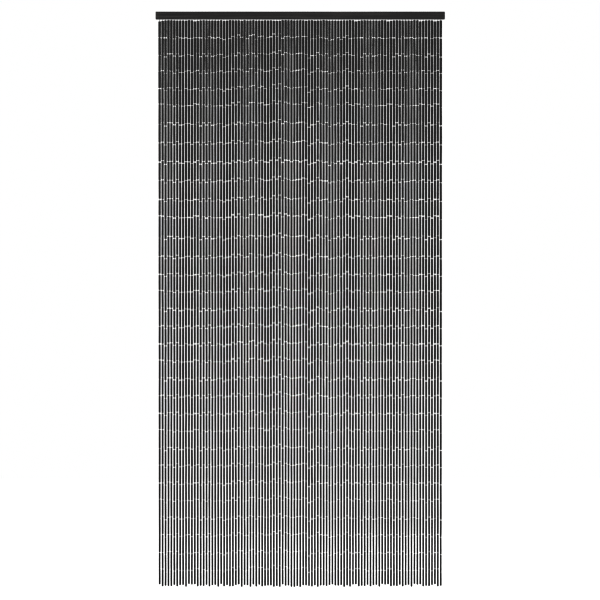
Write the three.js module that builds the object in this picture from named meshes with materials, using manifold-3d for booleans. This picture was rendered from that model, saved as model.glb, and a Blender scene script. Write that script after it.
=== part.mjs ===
// Bamboo door curtain: a plain wooden headbar with 97 strands of thin bamboo tubes under it.
// Millimetres, +Z up, +X to the right as seen from the front, +Y towards the wall behind.
// The origin is the middle of the headbar's flat back face, which lies against the wall above the door.
import * as THREE from 'three';
import { mergeVertices } from 'three/addons/utils/BufferGeometryUtils.js';
import Module from 'manifold-3d';

// The headbar
const railLength = 1000;
const railHeight = 26;
const railDepth = 18;
const railEdgeRadius = 2.5;
const railEdgeSteps = 3;

// The strands
const strandCount = 97;
const strandPitch = 10.13;
const strandSides = 8;
const overallHeight = 1989;

// The row of wire eyes between the headbar and the first tubes
const pieceGap = 0.3;
const eyeDrop = 4.8;
const eyeBandDepth = 2;
const eyeBandLap = 1.5;

// The canes are strung with their thick ends up: below is how far under the headbar, in mm
const caneTaper = [
  { below: eyeDrop, diameter: 8.9 },
  { below: 330, diameter: 8.2 },
  { below: 1000, diameter: 7.1 },
  { below: overallHeight - railHeight, diameter: 5.8 },
];

// The strands end unevenly, in a pattern that comes back every eleven strands:
// how far each one stops above the longest, in mm
const endRise = [8, 9, 2, 4, 3, 7, 2, 6, 7, 0, 10];

const group = new THREE.Group();
const wasm = await Module();
wasm.setup();

// A closed three.js geometry as a solid that can be joined to others
function toSolid(geometry) {
  const plain = geometry.clone();
  plain.deleteAttribute('normal');
  plain.deleteAttribute('uv');
  const merged = mergeVertices(plain, 1e-4);
  const mesh = new wasm.Mesh({
    numProp: 3,
    vertProperties: new Float32Array(merged.attributes.position.array),
    triVerts: new Uint32Array(merged.index.array),
  });
  return new wasm.Manifold(mesh);
}

function toGeometry(solid) {
  const mesh = solid.getMesh();
  const geometry = new THREE.BufferGeometry();
  geometry.setAttribute('position', new THREE.BufferAttribute(mesh.vertProperties, 3));
  geometry.setIndex(new THREE.BufferAttribute(mesh.triVerts, 1));
  geometry.computeVertexNormals();
  return geometry;
}

function addPiece(name, geometry, colour, roughness) {
  const material = new THREE.MeshStandardMaterial({ color: colour, roughness, metalness: 0 });
  const mesh = new THREE.Mesh(geometry, material);
  mesh.name = name;
  group.add(mesh);
  return mesh;
}

// The lath's section, with its four long edges eased
function railSection() {
  const halfDepth = railDepth / 2;
  const halfHeight = railHeight / 2;
  const r = railEdgeRadius;
  const shape = new THREE.Shape();
  shape.moveTo(-halfDepth + r, -halfHeight);
  shape.lineTo(halfDepth - r, -halfHeight);
  shape.absarc(halfDepth - r, -halfHeight + r, r, -Math.PI / 2, 0);
  shape.lineTo(halfDepth, halfHeight - r);
  shape.absarc(halfDepth - r, halfHeight - r, r, 0, Math.PI / 2);
  shape.lineTo(-halfDepth + r, halfHeight);
  shape.absarc(-halfDepth + r, halfHeight - r, r, Math.PI / 2, Math.PI);
  shape.lineTo(-halfDepth, -halfHeight + r);
  shape.absarc(-halfDepth + r, -halfHeight + r, r, Math.PI, Math.PI * 1.5);
  return shape;
}

function makeRail() {
  const geometry = new THREE.ExtrudeGeometry(railSection(), {
    depth: railLength,
    bevelEnabled: false,
    curveSegments: railEdgeSteps,
  });
  // The section is drawn in depth and height, and runs along X
  const sectionToRow = new THREE.Matrix4().makeBasis(
    new THREE.Vector3(0, 1, 0),
    new THREE.Vector3(0, 0, 1),
    new THREE.Vector3(1, 0, 0),
  );
  geometry.applyMatrix4(sectionToRow);
  geometry.translate(-railLength / 2, 0, 0);
  const rail = addPiece('rail', geometry, 0x2f2e2d, 0.55);
  rail.position.y = -railDepth / 2;
}

// One strand from its first tube down to its own end, as a many-sided taper
function strandGeometry(rise) {
  const railBottom = -railHeight / 2;
  const last = caneTaper[caneTaper.length - 1];
  const profile = [new THREE.Vector2(0, railBottom - last.below + rise)];
  for (const row of [...caneTaper].reverse()) {
    const lift = row === last ? rise : 0;
    profile.push(new THREE.Vector2(row.diameter / 2, railBottom - row.below + lift));
  }
  profile.push(new THREE.Vector2(0, railBottom - caneTaper[0].below));
  const geometry = new THREE.LatheGeometry(profile, strandSides);
  // The lathe turns about Y, so its axis is stood up along Z
  geometry.rotateX(Math.PI / 2);
  return geometry;
}

function makeComb() {
  const railBottom = -railHeight / 2;
  const firstX = (-strandPitch * (strandCount - 1)) / 2;
  const bandTop = railBottom - pieceGap;
  const bandBottom = railBottom - eyeDrop - eyeBandLap;
  const bandLength = strandPitch * (strandCount - 1) + eyeBandDepth;
  const band = new THREE.BoxGeometry(bandLength, eyeBandDepth, bandTop - bandBottom);
  band.translate(0, 0, (bandTop + bandBottom) / 2);
  const solids = [toSolid(band)];
  for (let k = 0; k < strandCount; k += 1) {
    const strand = strandGeometry(endRise[k % endRise.length]);
    strand.translate(firstX + k * strandPitch, 0, 0);
    solids.push(toSolid(strand));
  }
  const comb = addPiece('comb', toGeometry(wasm.Manifold.union(solids)), 0x1d1c1b, 0.6);
  comb.position.y = -railDepth / 2;
}

makeRail();
makeComb();

export default group;
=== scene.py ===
import math

import bpy
import numpy as np
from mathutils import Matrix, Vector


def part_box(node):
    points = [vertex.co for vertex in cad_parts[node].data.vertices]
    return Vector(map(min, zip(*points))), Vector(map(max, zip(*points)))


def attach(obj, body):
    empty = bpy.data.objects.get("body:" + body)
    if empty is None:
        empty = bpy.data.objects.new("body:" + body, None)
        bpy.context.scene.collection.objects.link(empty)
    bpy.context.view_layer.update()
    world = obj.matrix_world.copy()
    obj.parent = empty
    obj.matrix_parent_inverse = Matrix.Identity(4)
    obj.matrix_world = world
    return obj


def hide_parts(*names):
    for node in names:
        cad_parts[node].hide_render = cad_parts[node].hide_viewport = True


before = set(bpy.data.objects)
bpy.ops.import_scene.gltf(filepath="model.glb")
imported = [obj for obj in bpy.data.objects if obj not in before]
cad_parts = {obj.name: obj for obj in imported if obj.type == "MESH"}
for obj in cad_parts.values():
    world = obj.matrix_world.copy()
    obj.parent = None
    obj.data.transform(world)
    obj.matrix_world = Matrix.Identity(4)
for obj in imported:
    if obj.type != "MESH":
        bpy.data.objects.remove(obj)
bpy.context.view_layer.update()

# Bamboo door curtain: a stained headbar, and 97 strands of short bamboo tubes on wire links.
# +X runs to the right, +Y to the wall behind, +Z up. The settings are in millimetres, but the lamps'
# and the camera's are in metres.

railLow, railHigh = [corner * 1000 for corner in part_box("rail")]
combLow, combHigh = [corner * 1000 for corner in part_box("comb")]
metres = 0.001  # one millimetre
mapName = "OFBake"  # every joined mesh lays its own map out in a grid of cells
rng = np.random.default_rng(41)


class Value:  # an output socket; arithmetic on it adds Math nodes to its own tree
    def __init__(self, tree, socket):
        self.tree = tree
        self.socket = socket

    def maths(self, operation, first, second=0.0):
        return self.tree.node("ShaderNodeMath", {"operation": operation}, {0: first, 1: second})

    def __add__(self, other):
        return self.maths("ADD", self, other)

    def __radd__(self, other):
        return self.maths("ADD", other, self)

    def __sub__(self, other):
        return self.maths("SUBTRACT", self, other)

    def __rsub__(self, other):
        return self.maths("SUBTRACT", other, self)

    def __mul__(self, other):
        return self.maths("MULTIPLY", self, other)

    def __rmul__(self, other):
        return self.maths("MULTIPLY", other, self)

    def __abs__(self):
        return self.maths("ABSOLUTE", self)


class Tree:  # a node tree that is built one node at a time
    def __init__(self, nodeTree):
        self.nodes = nodeTree.nodes
        self.links = nodeTree.links
        self.nodes.clear()

    def node(self, kind, settings=None, sockets=None, output=0):
        made = self.nodes.new(kind)
        for name, value in (settings or {}).items():
            setattr(made, name, value)
        for key, value in (sockets or {}).items():
            if isinstance(value, Value):
                self.links.new(value.socket, made.inputs[key])
            else:
                made.inputs[key].default_value = value
        return Value(self, made.outputs[output]) if made.outputs else None

    def attribute(self, name, output="Fac"):
        return self.node("ShaderNodeAttribute", {"attribute_name": name}, output=output)

    def stretch(self, place, scale):
        return self.node("ShaderNodeVectorMath", {"operation": "MULTIPLY"}, {0: place, 1: scale})

    def noise(self, place, scale, detail=2.0, roughness=0.5):
        sockets = {"Vector": place, "Scale": scale, "Detail": detail, "Roughness": roughness}
        return self.node("ShaderNodeTexNoise", None, sockets)

    def between(self, value, low, high, first=0.0, last=1.0):  # a soft step from first to last
        sockets = {"Value": value, "From Min": low, "From Max": high, "To Min": first, "To Max": last}
        return self.node("ShaderNodeMapRange", {"interpolation_type": "SMOOTHSTEP"}, sockets)

    def blend(self, factor, first, second):  # two colours
        return self.node("ShaderNodeMix", {"data_type": "RGBA"}, {0: factor, 6: first, 7: second}, 2)

    def bump(self, height, depth):  # depth is in millimetres
        return self.node("ShaderNodeBump", None, {"Height": height, "Distance": depth * metres})


def newFinish(name):
    material = bpy.data.materials.new(name)
    material.use_nodes = True
    return material, Tree(material.node_tree)


def grey(level, warmth=0.0):  # a linear grey, a little redder and less blue with warmth
    return (level * (1 + warmth), level, level * (1 - warmth), 1.0)


def finish(tree, plain, varied):
    surface = tree.node("ShaderNodeBsdfPrincipled", None, {**plain, **varied})
    tree.node("ShaderNodeOutputMaterial", None, {"Surface": surface})


# Stained bamboo skin: fine fibres along the cane, uneven stain, rubbed rims and a scar at each node

caneLook = {
    "dark": 0.001,
    "light": 0.012,
    "lightWarmth": 0.16,
    "rubbed": 0.08,
    "rubbedWarmth": 0.2,
    "fibresAcross": 2.1,  # per millimetre, as the scales are
    "fibresAlong": 0.03,  # as a share of those across
    "stainScale": 0.07,
    "scuffScale": 0.75,
    "scuffsAlong": 0.16,
    "rubbedRim": (0.15, 0.75),  # distance from the rim where the rubbing fades, in millimetres
    "scar": (0.15, 0.5),  # the same from the middle of a node
    "groove": (0.1, 0.45),
    "reliefDepth": 0.05,
    "roughness": 0.32,
    "shine": 0.5,
    "index": 1.45,
}


def makeCaneSkin():
    material, tree = newFinish("caneSkin")
    place = tree.attribute("canePlace", "Vector")
    tone = tree.attribute("caneTone")
    rim = tree.attribute("rimGap")
    knot = tree.attribute("knotGap")
    alongFibres = tree.stretch(place, (1.0, 1.0, caneLook["fibresAlong"]))
    fibres = tree.noise(alongFibres, caneLook["fibresAcross"], 4.0, 0.62)
    stain = tree.noise(place, caneLook["stainScale"], 3.0, 0.55)
    alongScuffs = tree.stretch(place, (1.0, 1.0, caneLook["scuffsAlong"]))
    scuffs = tree.between(tree.noise(alongScuffs, caneLook["scuffScale"], 3.0, 0.6), 0.63, 0.74)
    grain = tree.between(fibres, 0.36, 0.66)
    shade = tree.between(tone * 0.45 + stain * 0.4 + grain * 0.65, 0.3, 1.2)
    skin = tree.blend(shade, grey(caneLook["dark"]), grey(caneLook["light"], caneLook["lightWarmth"]))
    rubbing = tree.between(rim + grain * 0.5 - scuffs * 0.4, *caneLook["rubbedRim"], 1.0, 0.0)
    scar = tree.between(abs(knot), *caneLook["scar"], 1.0, 0.0)
    bare = grey(caneLook["rubbed"], caneLook["rubbedWarmth"])
    worn = tree.blend(rubbing * 0.6 + scuffs * 0.22 + scar * 0.45, skin, bare)
    rough = caneLook["roughness"] + (grain - 0.5) * 0.2 + rubbing * 0.3 + scuffs * 0.2
    groove = tree.between(abs(knot), *caneLook["groove"])
    relief = tree.bump(fibres * 0.8 + groove * 1.6 + stain * 0.6, caneLook["reliefDepth"])
    plain = {"Specular IOR Level": caneLook["shine"], "IOR": caneLook["index"]}
    finish(tree, plain, {"Base Color": worn, "Roughness": rough, "Normal": relief})
    return material


cutLook = {
    "dark": 0.01,
    "light": 0.055,
    "bundlesAcross": 3.2,
    "stainScale": 0.5,
    "reliefDepth": 0.08,
    "roughness": 0.68,
    "shine": 0.2,
}


def makeCaneCut():  # the sawn ends and the bore: open fibre bundles, stained unevenly
    material, tree = newFinish("caneCut")
    place = tree.attribute("canePlace", "Vector")
    bundles = tree.between(tree.noise(place, cutLook["bundlesAcross"], 3.0, 0.6), 0.4, 0.66)
    stain = tree.noise(place, cutLook["stainScale"], 2.0, 0.5)
    wood = tree.blend(bundles * 0.7 + stain * 0.3, grey(cutLook["dark"], 0.1), grey(cutLook["light"], 0.2))
    rough = cutLook["roughness"] + bundles * 0.16
    relief = tree.bump(bundles, cutLook["reliefDepth"])
    plain = {"Specular IOR Level": cutLook["shine"]}
    finish(tree, plain, {"Base Color": wood, "Roughness": rough, "Normal": relief})
    return material


wireLook = {"bright": 0.11, "dull": 0.05, "spotScale": 0.9, "metal": 0.85, "roughness": 0.52}


def makeWireFinish():  # thin drawn iron wire, darkened, with dull spots
    material, tree = newFinish("darkWire")
    place = tree.attribute("canePlace", "Vector")
    spots = tree.between(tree.noise(place, wireLook["spotScale"], 3.0, 0.6), 0.45, 0.7)
    metal = tree.blend(spots, grey(wireLook["bright"]), grey(wireLook["dull"], 0.14))
    plain = {"Metallic": wireLook["metal"], "Roughness": wireLook["roughness"]}
    finish(tree, plain, {"Base Color": metal})
    return material


# Stained lath: long grain with open pores on the faces, growth rings on the sawn ends, rubbed edges

railLook = {
    "dark": 0.012,
    "light": 0.09,
    "rubbed": 0.2,
    "pore": 0.006,
    "warmth": 0.05,
    "rubbedWarmth": 0.16,
    "grainAcross": 0.42,  # per millimetre, as the scales and the pores are
    "grainAlong": 0.012,  # as a share of that across
    "figureScale": 0.16,
    "poresAcross": 1.9,
    "poresAlong": 0.05,
    "stainScale": 0.012,
    "reliefDepth": 0.14,
    "roughness": 0.5,
    "shine": 0.3,
}


def makeRailFinish():
    material, tree = newFinish("railStain")
    objectPlace = tree.node("ShaderNodeTexCoord", output="Object")
    place = tree.stretch(objectPlace, (1 / metres, 1 / metres, 1 / metres))
    alongGrain = tree.stretch(place, (railLook["grainAlong"], 1.0, 1.0))
    figure = tree.noise(alongGrain, railLook["figureScale"], 3.0, 0.5)
    rings = tree.between(tree.noise(alongGrain, railLook["grainAcross"], 5.0, 0.6), 0.3, 0.7)
    alongPores = tree.stretch(place, (railLook["poresAlong"], 1.0, 1.0))
    pores = tree.between(tree.noise(alongPores, railLook["poresAcross"], 2.0, 0.5), 0.6, 0.7)
    stain = tree.noise(place, railLook["stainScale"], 3.0, 0.5)
    edge = tree.attribute("edgeGap")
    rubbing = tree.between(edge + figure * 1.6, 0.75, 1.7, 1.0, 0.0)
    shade = rings * 0.5 + figure * 0.4 + stain * 0.35 - 0.12
    wood = tree.blend(shade, grey(railLook["dark"]), grey(railLook["light"], railLook["warmth"]))
    pored = tree.blend(pores * 0.6, wood, grey(railLook["pore"]))
    worn = tree.blend(rubbing * 0.35, pored, grey(railLook["rubbed"], railLook["rubbedWarmth"]))
    rough = railLook["roughness"] + rings * 0.12 + pores * 0.2 - rubbing * 0.08
    relief = tree.bump(rings * 0.35 - pores * 0.8 + figure * 0.3, railLook["reliefDepth"])
    plain = {"Specular IOR Level": railLook["shine"]}
    finish(tree, plain, {"Base Color": worn, "Roughness": rough, "Normal": relief})
    return material


caneSkin = makeCaneSkin()
caneCut = makeCaneCut()
darkWire = makeWireFinish()
railStain = makeRailFinish()
print("finishes made")


class JoinedMesh:  # many like solids of rings, gathered into one mesh with a map cell for each
    def __init__(self, cells):
        self.across = math.ceil(math.sqrt(cells))
        self.cell = 0
        self.points = []
        self.faces = []
        self.maps = []
        self.slots = []
        self.values = {}
        self.pointCount = 0

    # rings: solids x rings x sides x 3. A closed solid joins its last ring to its first, any other gets
    # end caps. bandMap says how much of the map each band of faces takes, and bandSlots its finish.
    def add(self, rings, closed, bandMap, bandSlots, values):
        count, ringCount, sides, _ = rings.shape
        bands = ringCount if closed else ringCount - 1
        ends = np.cumsum([0.0, *bandMap]) / sum(bandMap)
        turn = np.arange(sides)
        after = (turn + 1) % sides
        inset = 0.06  # of a cell, kept free round its map, but for the small circles of the end caps
        capRadius = inset * 0.3
        for solid in range(count):
            base = self.pointCount + solid * ringCount * sides
            corner = np.array([self.cell % self.across, self.cell // self.across]) + inset
            width = 1 - 2 * inset
            for band in range(bands):
                here = base + band * sides
                there = base + (band + 1) % ringCount * sides
                quads = np.stack([here + turn, there + turn, there + after, here + after], 1)
                self.faces += quads.tolist()
                u = corner[0] + width * np.stack([turn, turn, turn + 1, turn + 1], 1) / sides
                v = corner[1] + width * np.array([ends[band], ends[band + 1], ends[band + 1], ends[band]])
                self.maps.append(np.stack([u, np.broadcast_to(v, u.shape)], 2).reshape(-1, 2))
                self.slots += [bandSlots[band]] * sides
            if not closed:
                for first, order in ((0, turn), (ringCount - 1, turn[::-1])):
                    self.faces.append((base + first * sides + order).tolist())
                    angle = order * math.tau / sides
                    circle = np.stack([np.cos(angle), np.sin(angle)], 1) * capRadius
                    self.maps.append(corner - inset / 2 + circle + (inset if first else 0, 0))
                    self.slots.append(bandSlots[0])
            self.cell += 1
        self.points.append(rings.reshape(-1, 3))
        self.pointCount += count * ringCount * sides
        for name, value in values.items():
            self.values.setdefault(name, []).append(value.reshape(count * ringCount * sides, -1))

    def build(self, name, finishes, sharpAngle=None):
        mesh = bpy.data.meshes.new(name)
        mesh.from_pydata((np.concatenate(self.points) * metres).tolist(), [], self.faces)
        for finishMaterial in finishes:
            mesh.materials.append(finishMaterial)
        mesh.polygons.foreach_set("material_index", self.slots)
        mesh.polygons.foreach_set("use_smooth", [True] * len(self.faces))
        layer = mesh.uv_layers.new(name=mapName)
        layer.data.foreach_set("uv", (np.concatenate(self.maps) / self.across).ravel())
        for valueName, parts in self.values.items():
            table = np.concatenate(parts)
            kind = "FLOAT_VECTOR" if table.shape[1] == 3 else "FLOAT"
            attribute = mesh.attributes.new(valueName, kind, "POINT")
            attribute.data.foreach_set("vector" if table.shape[1] == 3 else "value", table.ravel())
        if sharpAngle:
            mesh.set_sharp_from_angle(angle=math.radians(sharpAngle))
        mesh.validate()
        piece = bpy.data.objects.new(name, mesh)
        bpy.context.scene.collection.objects.link(piece)
        return piece


# The headbar: one lath with eased edges, very slightly uneven along its length

headbar = {
    "edgeRadius": 2.5,
    "edgeSteps": 4,
    "endChamfer": 0.8,
    "stations": 90,
    "waviness": 0.12,
    "waves": (83.0, 211.0),
    "sharpAngle": 60,
}


# Points round the section, and how far each is from the middle of its rounded edge, 0 to 1
def lathSection(depth, height, radius, steps):
    points = []
    for corner in range(4):
        sideways = 1 if corner in (0, 3) else -1
        upwards = 1 if corner in (0, 1) else -1
        for step in range(steps + 1):
            angle = (corner + step / steps) * math.pi / 2
            across = sideways * (depth / 2 - radius) + radius * math.cos(angle)
            up = upwards * (height / 2 - radius) + radius * math.sin(angle)
            points.append((across, up, abs(step - steps / 2) / steps * 2))
    return np.array(points[::-1])


def makeHeadbar():
    size = railHigh - railLow
    section = lathSection(size.y, size.z, headbar["edgeRadius"], headbar["edgeSteps"])
    chamfer = headbar["endChamfer"]
    inner = np.linspace(railLow.x + chamfer, railHigh.x - chamfer, headbar["stations"])
    stations = np.concatenate([[railLow.x], inner, [railHigh.x]])
    shrink = np.ones(len(stations))
    shrink[[0, -1]] = 1 - 2 * chamfer / size.y
    shortWave, longWave = headbar["waves"]
    wave = headbar["waviness"] * np.sin(stations / shortWave) * np.sin(stations / longWave + 1.0)
    rings = np.zeros((1, len(stations), len(section), 3))
    rings[0, :, :, 0] = stations[:, None]
    rings[0, :, :, 1] = (railLow.y + railHigh.y) / 2 + section[None, :, 0] * shrink[:, None]
    rings[0, :, :, 2] = (railLow.z + railHigh.z) / 2 + section[None, :, 1] * shrink[:, None]
    rings[0, 1:-1, :, 2] -= np.abs(wave[1:-1, None]) * (section[None, :, 1] > 0)
    # 1 along the edges and round the ends, up to 3 where the faces begin
    edgeGap = np.broadcast_to(1 + section[None, :, 2] * 2, (len(stations), len(section))).copy()
    edgeGap[[0, -1]] = 1
    joined = JoinedMesh(1)
    bandMap = np.diff(stations).tolist()
    joined.add(rings, False, bandMap, [0] * len(bandMap), {"edgeGap": edgeGap})
    piece = joined.build("headbar", [railStain], headbar["sharpAngle"])
    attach(piece, "root")
    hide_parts("rail")


makeHeadbar()
print("headbar made")


# How the strands are strung. The tubes were cut and strung in the same order over and over, so the
# courses of joints follow a few patterns, and each pattern comes back every eleven strands.

strands = {
    "count": 97,
    "repeat": 11,
    "middle": (22, 66),  # the strands that were strung without the repeat
    "edges": (4, 94),  # the outer strands start and end on their own places of the repeat
    "pitch": 10.13,
    "unevenPitch": 0.06,
    "sway": 0.12,
    "unevenDrop": 0.35,
    "unevenGap": 0.3,
    "middleDrop": 1.5,
    "middleGap": 1.0,
    "leastGap": 0.4,
    "topGap": [3.5, 7.4, 5.4, 3.9, 3.4, 4.0, 4.4, 4.3, 4.3, 4.7, 3.1],  # headbar to first tube
    "endRise": [8, 9, 2, 4, 3, 7, 2, 6, 7, 1, 10],  # from the lowest end
    "middleTopGap": (2.8, 5.4),
    "middleEndRise": (0, 9),
    "courses": 31,
}

# For each of eleven strands: the gap at its joint, and how far the joint hangs below its course
stringing = {
    "level": [(2.4, 1), (2.2, 0), (2.3, 0), (5, 0), (0.5, 0), (1.9, 3), (1.4, -4), (4.4, 0), (2.9, 1),
              (3.4, -1), (3, 2)],
    "zigzag": [(3.5, 3), (1.3, 2), (1.2, -5), (4.8, 8), (4.3, -3), (5, 4), (2.7, -3), (5, 5), (3, 4),
               (1.9, -1), (2.4, -1)],
    "peaks": [(2.5, 6), (2.1, 0), (4.6, -2), (2.5, 8), (2.8, -1), (4.2, 7), (2.5, -4), (3.4, 5),
              (2.2, 4), (2.6, 0), (3.4, -1)],
    "steps": [(2.7, 4), (6.3, 0), (3.2, 0), (3.1, 7), (2.9, -3), (2.6, 5), (3.7, -4), (2.8, 6),
              (1.2, 5), (2.3, 0), (2.8, 3)],
    "waves": [(3.2, 3), (2.6, -3), (4.1, -2), (0.9, 10), (2, 0), (4, 5), (1.8, -1), (1.8, 4), (1.9, 4),
              (1.8, 3), (3.1, 3)],
    "wide": [(2.8, 5), (7, 1), (3.6, -5), (5.8, 8), (3.8, -2), (3.4, 6), (5.8, -2), (5, 5), (4.2, 5),
             (3.4, -1), (3.8, -1)],
}

# The middle strands, eleven to a row: how far their joints hang below the course
middleDrops = [
    [7, 3, 4, -4, 1, -7, -4, 3, 2, -8, -10],
    [5, -4, -6, -1, -1, -5, -12, -5, -15, 0, -6],
    [-4, 0, -4, -3, -3, -6, -5, 11, 4, 2, -7],
    [0, 1, 1, 11, 6, 4, -1, 4, -2, -8, 2],
]

# Each course of joints: its pattern, how far it is below the one before, and how slack its joints are
upperCourses = [
    ("level", 64.0, 0.78),
    ("zigzag", 58.4, 0.6),
    ("peaks", 56.8, 0.6),
    ("steps", 60.5, 0.6),
    ("waves", 55.7, 0.74),
    ("zigzag", 65.6, 0.72),
    ("peaks", 65.6, 0.75),
    ("wide", 66.7, 0.72),
    ("peaks", 64.0, 0.78),
    ("steps", 66.0, 0.74),
    ("waves", 59.5, 1.1),
    ("zigzag", 71.2, 0.8),
    ("peaks", 66.5, 0.8),
    ("steps", 61.8, 0.76),
    ("waves", 57.8, 0.82),
    ("zigzag", 62.6, 0.82),
    ("peaks", 59.1, 0.82),
]
lowerCourses = [("steps", 60.8), ("waves", 58.7), ("zigzag", 62.0), ("peaks", 59.1)]
lowerSlack = (0.92, 0.42)  # at the first and the last of the lower courses

# How thick the canes are at a distance below the headbar
caneTaper = {
    "below": [0, 100, 330, 660, 1000, 1340, 1700, 1960],
    "diameter": [9.05, 8.95, 8.4, 7.65, 7.1, 6.45, 6.15, 6.35],
}


def allCourses():  # pattern, level below the headbar and slack of every course
    courses = list(upperCourses)
    lowerCount = strands["courses"] - len(upperCourses)
    for number, slack in enumerate(np.linspace(*lowerSlack, lowerCount)):
        pattern, spacing = lowerCourses[number % len(lowerCourses)]
        courses.append((pattern, spacing, slack))
    level = 0
    placed = []
    for pattern, spacing, slack in courses:
        level += spacing
        placed.append((pattern, level, slack))
    return placed


def repeatPlace(strand):
    first, last = strands["edges"]
    if strand < first:
        return strand + 1
    if strand >= last:
        return strand - last + 1
    return strand % strands["repeat"]


def strandPlaces():  # where each strand hangs, its joints' drops and gaps, and its two ends
    count = strands["count"]
    x = (np.arange(count) - (count - 1) / 2) * strands["pitch"]
    x += rng.normal(0, strands["unevenPitch"], count)
    place = np.array([repeatPlace(strand) for strand in range(count)])
    middle = slice(*strands["middle"])
    middleCount = middle.stop - middle.start
    drops = []
    gaps = []
    shapes = {}
    for pattern, rows in stringing.items():
        gap, drop = np.array(rows, float)[place].T
        drop[middle] = np.ravel(middleDrops) + rng.normal(0, strands["middleDrop"], middleCount)
        gap[middle] = np.mean(gap) + rng.normal(0, strands["middleGap"], middleCount)
        shapes[pattern] = gap, drop
    for pattern, level, slack in allCourses():
        gap, drop = shapes[pattern]
        drops.append(level + drop + rng.normal(0, strands["unevenDrop"], count))
        gaps.append(slack * gap + rng.normal(0, strands["unevenGap"], count))
    tops = np.array(strands["topGap"])[place]
    tops[middle] = rng.uniform(*strands["middleTopGap"], middleCount)
    rises = np.array(strands["endRise"], float)[place]
    rises[middle] = rng.uniform(*strands["middleEndRise"], middleCount)
    gaps = np.maximum(np.stack(gaps, 1), strands["leastGap"])
    return x, railLow.z - np.stack(drops, 1), gaps, railLow.z - tops, combLow.z + rises


def tubeEnds():  # for every tube: its top and bottom middles, as strands x tubes x 3
    x, joints, gaps, tops, ends = strandPlaces()
    count, courses = joints.shape
    sway = rng.normal(0, strands["sway"], (count, courses, 2))
    upper = np.zeros((count, courses + 1, 3))
    upper[:, :, 0] = x[:, None]
    upper[:, :, 1] = (combLow.y + combHigh.y) / 2
    lower = upper.copy()
    upper[:, 1:, :2] += sway
    lower[:, :-1, :2] += sway
    upper[:, 0, 2] = tops
    upper[:, 1:, 2] = joints - gaps / 2
    lower[:, :-1, 2] = joints + gaps / 2
    lower[:, -1, 2] = ends
    return upper, lower


# Bamboo tubes: hollow, with rounded rims, a slight bow, and a node on some of them

tubes = {
    "sides": 10,
    "rim": [(0.0, 0.88), (0.5, 0.965), (1.7, 1.0)],  # distance from the end, share of the radius
    "bore": 0.36,  # of the diameter
    "leastBore": 2.5,
    "thickness": 0.015,  # spread, as a share of the diameter
    "taper": 0.012,  # spread, from one end to the other
    "bow": 0.15,
    "nodeShare": 0.14,
    "nodePlace": (0.2, 0.8),  # of the tube's length
    "nodeSwell": 1.07,
    "nodeHalfWidth": 1.8,
    "noNode": 1000.0,  # for a tube without a node, far beyond its end
    "grainSpread": 900,  # each tube has its own stretch of the grain
    "mapShares": {"rim": 1.0, "body": 20.0, "cut": 2.5, "bore": 3.0},  # of a map cell's height
    "sharpAngle": 42,
}


# The outside from the top rim to the bottom rim, then the bore back up
def tubeRings(top, bottom, diameterTop, diameterBottom, knots):
    count = len(top)
    sides = tubes["sides"]
    length = top[:, 2] - bottom[:, 2]
    rims = tubes["rim"]
    downs = [np.full(count, gap) for gap, _ in rims]
    swells = [swell for _, swell in rims]
    if knots is None:
        downs.append(length / 2)
        swells.append(1.0)
        knots = np.full(count, tubes["noNode"])
    else:
        half = tubes["nodeHalfWidth"]
        downs += [knots - half, knots, knots + half]
        swells += [1.0, tubes["nodeSwell"], 1.0]
    downs += [length - gap for gap, _ in reversed(rims)]
    swells += [swell for _, swell in reversed(rims)]
    outside = len(downs)
    downs += [length, np.zeros(count)]
    down = np.stack(downs, 1)
    share = down / length[:, None]
    diameter = diameterTop[:, None] * (1 - share) + diameterBottom[:, None] * share
    radius = diameter / 2 * np.array([*swells, 1.0, 1.0])
    bore = np.maximum(tubes["leastBore"], tubes["bore"] * diameterTop) / 2
    radius[:, outside:] = bore[:, None]
    middle = top[:, None] * (1 - share[..., None]) + bottom[:, None] * share[..., None]
    bowTurn = rng.uniform(0, math.tau, count)
    bow = rng.uniform(0, tubes["bow"], count)[:, None] * np.sin(share * math.pi)
    middle[..., 0] += bow * np.cos(bowTurn)[:, None]
    middle[..., 1] += bow * np.sin(bowTurn)[:, None]
    turn = rng.uniform(0, math.tau, count)[:, None] + np.arange(sides) * math.tau / sides
    rings = np.zeros((count, len(downs), sides, 3))
    local = np.zeros_like(rings)
    local[..., 0] = radius[:, :, None] * np.cos(turn)[:, None, :]
    local[..., 1] = radius[:, :, None] * np.sin(turn)[:, None, :]
    local[..., 2] = -down[:, :, None]
    rings[...] = middle[:, :, None, :]
    rings[..., :2] += local[..., :2]
    shape = (count, len(downs), sides)
    grainStart = rng.uniform(0, tubes["grainSpread"], (count, 3))
    rimGap = np.broadcast_to(np.minimum(down, length[:, None] - down)[:, :, None], shape)
    knotGap = np.broadcast_to((down - knots[:, None])[:, :, None], shape)
    tone = np.broadcast_to(rng.uniform(0, 1, count)[:, None, None], shape)
    values = {
        "canePlace": local + grainStart[:, None, None, :],
        "rimGap": rimGap,
        "knotGap": knotGap,
        "caneTone": tone,
    }
    shares = tubes["mapShares"]
    rimMap = [shares["rim"]] * (len(rims) - 1)
    bodyMap = [shares["body"]] * (outside + 1 - 2 * len(rims))
    bandMap = [*rimMap, *bodyMap, *rimMap, shares["cut"], shares["bore"], shares["cut"]]
    bandSlots = [0] * (outside - 1) + [1, 1, 1]
    return rings, bandMap, bandSlots, values


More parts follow.
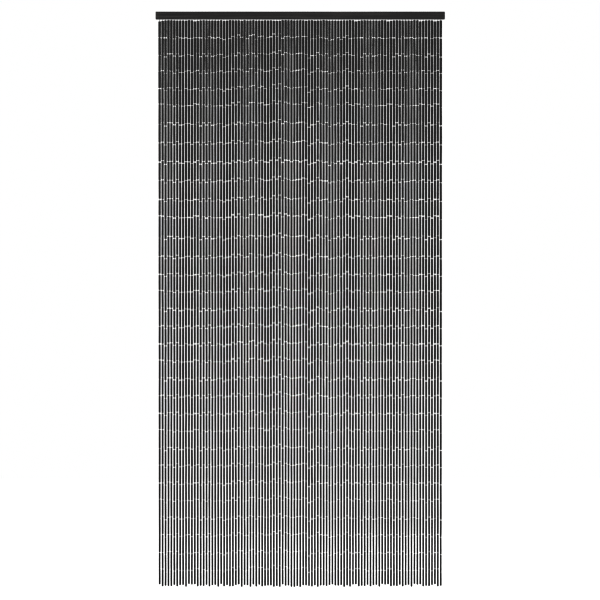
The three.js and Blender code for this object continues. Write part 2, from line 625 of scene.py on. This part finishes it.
def makeTubes(upper, lower):
    count = strands["count"]
    size = strands["repeat"]
    below = railLow.z - (upper[..., 2] + lower[..., 2]) / 2
    diameters = np.interp(below, caneTaper["below"], caneTaper["diameter"])
    diameters *= 1 + rng.normal(0, tubes["thickness"], diameters.shape)
    hasNode = rng.uniform(0, 1, diameters.shape) < tubes["nodeShare"]
    pieces = []
    for number, first in enumerate(range(0, count, size)):
        group = slice(first, min(first + size, count))
        top = upper[group].reshape(-1, 3)
        bottom = lower[group].reshape(-1, 3)
        thick = diameters[group].ravel()
        taper = 1 + rng.normal(0, tubes["taper"], len(thick))
        noded = hasNode[group].ravel()
        joined = JoinedMesh(len(thick))
        for chosen, withNodes in ((~noded, False), (noded, True)):
            length = (top - bottom)[chosen][:, 2]
            knots = length * rng.uniform(*tubes["nodePlace"], len(length)) if withNodes else None
            upperWidth = (thick * taper)[chosen]
            lowerWidth = (thick / taper)[chosen]
            made = tubeRings(top[chosen], bottom[chosen], upperWidth, lowerWidth, knots)
            rings, bandMap, bandSlots, values = made
            joined.add(rings, True, bandMap, bandSlots, values)
        piece = joined.build(f"tubes_{number + 1}", [caneSkin, caneCut], tubes["sharpAngle"])
        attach(piece, "root")
        pieces.append(piece)
    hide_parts("comb")
    return pieces


upperEnds, lowerEnds = tubeEnds()
tubePieces = makeTubes(upperEnds, lowerEnds)
print("tubes made", sum(len(piece.data.polygons) for piece in tubePieces) * 2, "triangles")


# Wire links: each tube's wire comes out of the bore as a hairpin, hooked through its neighbour's

links = {
    "wire": 0.7,
    "sides": 5,
    "halfWidth": 0.75,
    "bend": [0.6, 1.0, 0.5],  # shares of the half width: in the bore, at the shoulder and at the tip
    "bendDepth": 0.9,  # of the half width, from the shoulder to the tip
    "overlap": 0.54,  # how far each bend reaches past the joint's middle, in wires
    "inBore": 2.0,
    "lastReach": 0.9,  # how far the lowest hairpins stand out of their bores
    "topTwist": 0.2,  # the first hairpins turn only a little out of the headbar's line
    "eyeWire": 0.6,
    "eyeRadius": 1.0,
    "eyeSteps": 10,
    "eyeArc": (90, 415),  # degrees
    "eyeNeck": 0.1,  # straight wire under the headbar
    "eyeDrop": 0.15,  # from the headbar to the eye's ring
    "eyeTwist": 0.25,  # spread, in radians
    "eyeInRail": 0.6,
}


# path: wires x points x 3, each in one upright plane; sideways: the level direction of that plane
def wireRings(path, sideways, wire, sides):
    ahead = np.gradient(path, axis=1)
    ahead /= np.linalg.norm(ahead, axis=2, keepdims=True)
    level = np.stack([-sideways[:, 1], sideways[:, 0], np.zeros(len(sideways))], 1)
    level = np.broadcast_to(level[:, None, :], path.shape)
    third = np.cross(level, ahead)
    turn = np.arange(sides) * math.tau / sides
    return path[:, :, None, :] + wire / 2 * (
        level[:, :, None, :] * np.cos(turn)[None, None, :, None]
        + third[:, :, None, :] * np.sin(turn)[None, None, :, None]
    )


def addWires(joined, rings):
    count, points, sides, _ = rings.shape
    start = rng.uniform(0, tubes["grainSpread"], (count, 1, 1, 3))
    bandMap = [1.0] * (points - 1)
    joined.add(rings, False, bandMap, [0] * (points - 1), {"canePlace": rings + start})


# mouth: where each one leaves its tube; reach: how far its bend stands out
def hairpins(mouth, reach, turn, upwards):
    spread = np.array(links["bend"]) * links["halfWidth"]
    side = np.concatenate([-spread, spread[::-1]])
    inside = np.full_like(reach, -links["inBore"])
    shoulder = reach - links["halfWidth"] * links["bendDepth"]
    out = np.stack([inside, shoulder, reach, reach, shoulder, inside], 1)
    sideways = np.stack([np.cos(turn), np.sin(turn), 0 * turn], 1)
    path = mouth[:, None, :] + sideways[:, None, :] * side[None, :, None]
    path[..., 2] += out * (1 if upwards else -1)
    return wireRings(path, sideways, links["wire"], links["sides"])


def makeLinks(upper, lower):
    count = strands["count"]
    size = strands["repeat"]
    turns = rng.uniform(0, math.pi, upper.shape[:2])
    eyeBottom = railLow.z - links["eyeWire"] / 2 - 2 * links["eyeRadius"] - links["eyeDrop"]
    for number, first in enumerate(range(0, count, size)):
        group = slice(first, min(first + size, count))
        top = upper[group]
        bottom = lower[group]
        turn = turns[group]
        mouthAbove = bottom[:, :-1].reshape(-1, 3)
        mouthBelow = top[:, 1:].reshape(-1, 3)
        jointTurn = turn[:, 1:].ravel()
        reach = (mouthAbove[:, 2] - mouthBelow[:, 2]) / 2 + links["wire"] * links["overlap"]
        firstReach = eyeBottom + links["wire"] - top[:, 0, 2]
        lastReach = np.full(len(top), links["lastReach"])
        joined = JoinedMesh(len(top) * (strands["courses"] * 2 + 2))
        addWires(joined, hairpins(top[:, 0], firstReach, turn[:, 0] * links["topTwist"], True))
        addWires(joined, hairpins(mouthAbove, reach, jointTurn, False))
        addWires(joined, hairpins(mouthBelow, reach, jointTurn + math.pi / 2, True))
        addWires(joined, hairpins(bottom[:, -1], lastReach, turn[:, 0], False))
        piece = joined.build(f"links_{number + 1}", [darkWire])
        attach(piece, "root")


def makeEyes(upper):  # one small wire eye under the headbar for each strand
    count = strands["count"]
    steps = links["eyeSteps"]
    radius = links["eyeRadius"]
    wire = links["eyeWire"]
    angle = np.radians(np.linspace(*links["eyeArc"], steps + 1))
    side = np.concatenate([[0, 0], radius * np.cos(angle)])
    centre = -wire / 2 - radius - links["eyeDrop"]
    up = np.concatenate([[links["eyeInRail"], -links["eyeNeck"]], centre + radius * np.sin(angle)])
    turn = math.pi / 2 + rng.normal(0, links["eyeTwist"], count)
    sideways = np.stack([np.cos(turn), np.sin(turn), 0 * turn], 1)
    start = upper[:, 0].copy()
    start[:, 2] = railLow.z
    path = start[:, None, :] + sideways[:, None, :] * side[None, :, None]
    path[..., 2] += up
    joined = JoinedMesh(count)
    addWires(joined, wireRings(path, sideways, wire, links["sides"]))
    piece = joined.build("eyes", [darkWire])
    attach(piece, "root")


makeLinks(upperEnds, lowerEnds)
makeEyes(upperEnds)
print("links and eyes made")


# The studio: a pale floor under the curtain, soft light all round, and three large soft lamps

studio = {
    "floorDrop": 150,
    "floorSize": 16000,
    "floorGrey": 0.92,
    "backdrop": 1.0,  # the white that the camera sees behind the curtain
    "skyOnMatt": 1.12,
    "skyOnGloss": 0.06,
    "lamps": [
        {"name": "keyLamp", "place": (-2.6, -3.4, 0.3), "size": (1.6, 2.4), "power": 95},
        {"name": "fillLamp", "place": (3.2, -2.8, -0.6), "size": (1.2, 2.0), "power": 30},
        {"name": "backLamp", "place": (1.8, 3.2, 0.2), "size": (1.4, 2.2), "power": 30},
    ],
}

camera = {
    "distance": 9.5,
    "frameWidth": 2.0758,  # metres across the picture at the strands
    "sensor": 36,  # this one in millimetres
    "farthest": 100,
    "offset": (-0.0008, -0.997),  # the picture's middle, from the headbar's middle and top
    "pixelFilter": 1.4,  # in pixels: keeps the stripes crisp, and their beat against the pixels faint
    "tones": [(0.01, 0.008), (0.03, 0.0125), (0.1, 0.022), (0.15, 0.038), (0.22, 0.082), (0.32, 0.155),
              (0.45, 0.25), (0.6, 0.44), (0.8, 0.74)],
}


def makeFloor():
    size = studio["floorSize"] / 2
    mesh = bpy.data.meshes.new("floor")
    z = combLow.z - studio["floorDrop"]
    corners = [(-size, -size, z), (size, -size, z), (size, size, z), (-size, size, z)]
    mesh.from_pydata([tuple(metres * value for value in corner) for corner in corners], [], [(0, 1, 2, 3)])
    material, tree = newFinish("paleFloor")
    plain = {"Base Color": grey(studio["floorGrey"]), "Roughness": 1.0, "Specular IOR Level": 0.0}
    finish(tree, plain, {})
    mesh.materials.append(material)
    floor = bpy.data.objects.new("floor", mesh)
    floor.visible_glossy = False
    bpy.context.scene.collection.objects.link(floor)


def makeSky():
    world = bpy.data.worlds.new("studioSky")
    world.use_nodes = True
    bpy.context.scene.world = world
    tree = Tree(world.node_tree)
    seen = tree.node("ShaderNodeLightPath", output="Is Camera Ray")
    glossy = tree.node("ShaderNodeLightPath", output="Is Glossy Ray")
    strength = studio["skyOnMatt"] + glossy * (studio["skyOnGloss"] - studio["skyOnMatt"])
    strength = strength * (1 - seen) + seen * studio["backdrop"]
    light = tree.node("ShaderNodeBackground", None, {"Color": grey(1.0), "Strength": strength})
    tree.node("ShaderNodeOutputWorld", None, {"Surface": light})


def aim(thing, target):
    thing.rotation_euler = (target - thing.location).to_track_quat("-Z", "Y").to_euler()


def makeLamps():
    target = (combLow + combHigh) / 2 * metres
    for lamp in studio["lamps"]:
        light = bpy.data.lights.new(lamp["name"], "AREA")
        light.shape = "RECTANGLE"
        light.size, light.size_y = lamp["size"]
        light.energy = lamp["power"]
        made = bpy.data.objects.new(lamp["name"], light)
        made.location = lamp["place"]
        aim(made, target)
        bpy.context.scene.collection.objects.link(made)


def makeCamera():
    data = bpy.data.cameras.new("camera")
    made = bpy.data.objects.new("camera", data)
    bpy.context.scene.collection.objects.link(made)
    data.sensor_width = camera["sensor"]
    data.lens = camera["sensor"] * camera["distance"] / camera["frameWidth"]
    data.clip_end = camera["farthest"]
    strandsPlane = (combLow.y + combHigh.y) / 2 * metres
    across, up = camera["offset"]
    made.location = (across, strandsPlane - camera["distance"], railHigh.z * metres + up)
    made.rotation_euler = (math.pi / 2, 0, 0)
    bpy.context.scene.camera = made


def setTones():  # half tones are deepened, and darks a little, as in a picture sharpened when made small
    scene = bpy.context.scene
    scene.cycles.filter_width = camera["pixelFilter"]
    scene.view_settings.view_transform = "Standard"
    scene.view_settings.use_curve_mapping = True
    mapping = scene.view_settings.curve_mapping
    for place, level in camera["tones"]:
        mapping.curves[3].points.new(place, level)  # the curve that all three channels share
    mapping.update()


makeFloor()
makeSky()
makeLamps()
makeCamera()
setTones()
print("studio made")
